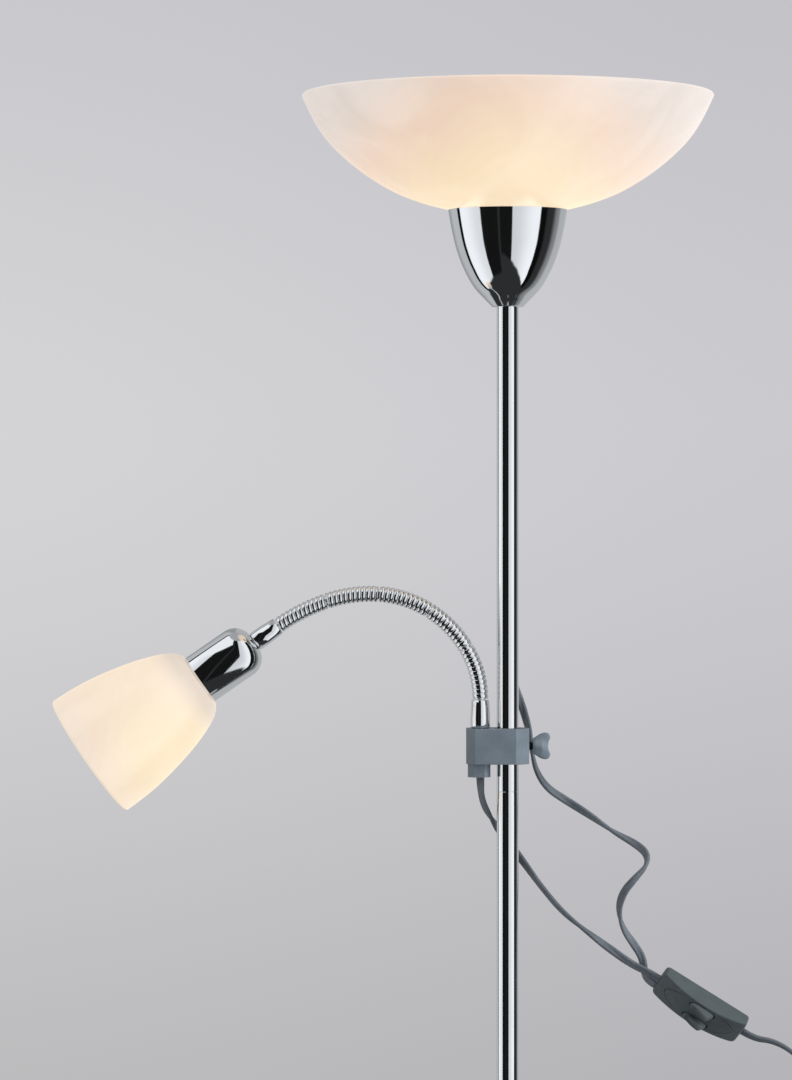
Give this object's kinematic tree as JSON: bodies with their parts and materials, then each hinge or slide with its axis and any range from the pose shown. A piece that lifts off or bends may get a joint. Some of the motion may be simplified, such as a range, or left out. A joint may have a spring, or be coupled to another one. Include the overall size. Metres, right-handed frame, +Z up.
{
  "type": "torchiere floor lamp",
  "caption": "Chromed pole lamp with an opal glass uplight bowl and a small glass reading head on a clamped gooseneck.",
  "frame": {"origin": "on the floor plane under the pole's axis, at the centre of the base's foam pad", "axes": "+Z up the pole; the reading arm points along -X at rest; the lamp's front faces -Y"},
  "size_m": [0.5704, 0.3006, 1.8],
  "materials": {
    "chrome": "polished chrome plate",
    "chrome_hose": "chromed spiral hose",
    "opal_glass": "satin opal glass with faint swirls",
    "clear_glass": "frosted bulb glass",
    "cap_metal": "plain lamp cap",
    "grey_plastic": "moulded blue-grey plastic",
    "switch_plastic": "moulded dark grey-green plastic",
    "black_steel": "blackened screw",
    "zinc_steel": "zinc-plated steel",
    "cast_iron": "sand-cast, painted black",
    "foam_pad": "closed-cell foam",
    "black_plastic": "black thermoset",
    "cord_pvc": "grey PVC sheath",
    "nylon": "natural nylon",
    "brass": "turned brass",
    "nickel_pins": "nickel-plated pins"
  },
  "bodies": {
    "root": {"base_pad": "foam_pad", "base_weight": "cast_iron", "base_cover": "chrome", "base_bolt": "zinc_steel", "pole_section_1": "chrome", "pole_section_2": "chrome", "pole_section_3": "chrome", "pole_section_top": "chrome", "pole_inserts": "zinc_steel", "cord_grommet": "grey_plastic", "pole_cord": "cord_pvc", "top_nipple": "zinc_steel", "uplight_cup": "chrome", "cup_locknut": "zinc_steel", "uplight_lampholder": "black_plastic", "uplight_shade_ring": "black_plastic", "glass_bowl": "opal_glass", "uplight_bulb_cap": "cap_metal", "uplight_bulb_glass": "clear_glass", "uplight_cord": "cord_pvc", "reading_cord_upper": "cord_pvc", "reading_cord_lower": "cord_pvc", "mains_lead": "cord_pvc", "mains_coil": "cord_pvc", "coil_tie": "black_plastic", "plug_body": "grey_plastic", "plug_pins": "nickel_pins", "switch_back": "switch_plastic", "switch_front": "switch_plastic", "rocker_pin": "zinc_steel", "switch_terminals": "brass", "switch_screws": "zinc_steel"},
    "clamp_bush": {"clamp_bush": "nylon"},
    "clamp": {"clamp_block": "grey_plastic", "clamp_gland": "grey_plastic"},
    "stud": {"clamp_stud": "black_steel"},
    "wing": {"wing_knob": "grey_plastic"},
    "arm_foot": {"lower_ferrule": "chrome", "arm_lock_nut": "zinc_steel"},
    "link_1": {"hose_core_1": "black_steel", "hose_coil_1": "chrome_hose"},
    "link_2": {"hose_core_2": "black_steel", "hose_coil_2": "chrome_hose"},
    "link_3": {"hose_core_3": "black_steel", "hose_coil_3": "chrome_hose"},
    "link_4": {"hose_core_4": "black_steel", "hose_coil_4": "chrome_hose"},
    "link_5": {"hose_core_5": "black_steel", "hose_coil_5": "chrome_hose"},
    "head": {"upper_ferrule": "chrome", "reading_cup": "chrome", "head_locknut": "zinc_steel", "reading_lampholder": "black_plastic", "reading_shade_ring": "black_plastic", "reading_shade": "opal_glass", "reading_bulb_cap": "cap_metal", "reading_bulb_glass": "clear_glass"},
    "uplight_button": {"uplight_rocker": "switch_plastic"},
    "reading_button": {"reading_rocker": "switch_plastic"}
  },
  "joints": [
    {"name": "clamp_slide", "type": "slide", "parent": "root", "child": "clamp_bush", "axis": [0, 0, 1], "range_m": [-0.15, 0.01], "deforming": ["reading_cord_lower"]},
    {"name": "clamp_swivel", "type": "hinge", "parent": "clamp_bush", "child": "clamp", "pos_m": [0, 0, 1.32395], "axis": [0, 0, 1], "range_deg": [-45, 90], "deforming": ["reading_cord_upper"]},
    {"name": "wing_turn", "type": "hinge", "parent": "stud", "child": "wing", "pos_m": [0.0178, 0, 1.32395], "axis": [1, 0, 0], "range_deg": [0, 541]},
    {"name": "stud_travel", "type": "slide", "parent": "clamp", "child": "stud", "axis": [1, 0, 0], "range_m": [0, 0.0015]},
    {"name": "arm_swing", "type": "hinge", "parent": "clamp", "child": "arm_foot", "pos_m": [-0.02, 0, 1.3372], "axis": [0, 0, 1], "range_deg": [-70, 100]},
    {"name": "hose_bend", "type": "hinge", "parent": "arm_foot", "child": "link_1", "pos_m": [-0.02, 0, 1.35835], "axis": [0, -1, 0], "range_deg": [-8.5, 7]},
    {"name": "hose_bend_2", "type": "hinge", "parent": "link_1", "child": "link_2", "pos_m": [-0.0303, 0, 1.39547], "axis": [0, -1, 0], "range_deg": [-8.5, 7]},
    {"name": "hose_bend_3", "type": "hinge", "parent": "link_2", "child": "link_3", "pos_m": [-0.05738, 0, 1.42304], "axis": [0, -1, 0], "range_deg": [-8.5, 7]},
    {"name": "hose_bend_4", "type": "hinge", "parent": "link_3", "child": "link_4", "pos_m": [-0.09414, 0, 1.4348], "axis": [0, -1, 0], "range_deg": [-8.5, 7]},
    {"name": "hose_bend_5", "type": "hinge", "parent": "link_4", "child": "link_5", "pos_m": [-0.13252, 0, 1.42951], "axis": [0, -1, 0], "range_deg": [-8.5, 7]},
    {"name": "hose_bend_6", "type": "hinge", "parent": "link_5", "child": "head", "pos_m": [-0.1672, 0, 1.41192], "axis": [0, -1, 0], "range_deg": [-8.5, 7]},
    {"name": "uplight_switch", "type": "hinge", "parent": "root", "child": "uplight_button", "pos_m": [0.14289, 0.00374, 1.13171], "axis": [0.4341, -0.5736, 0.6947], "range_deg": [0, 12]},
    {"name": "reading_switch", "type": "hinge", "parent": "root", "child": "reading_button", "pos_m": [0.13803, 0.01017, 1.12393], "axis": [0.4341, -0.5736, 0.6947], "range_deg": [0, 12]}
  ],
  "couplings": [
    {"joint": "wing_turn", "follows": "stud_travel", "rad_per_m": 6283.2}
  ]
}
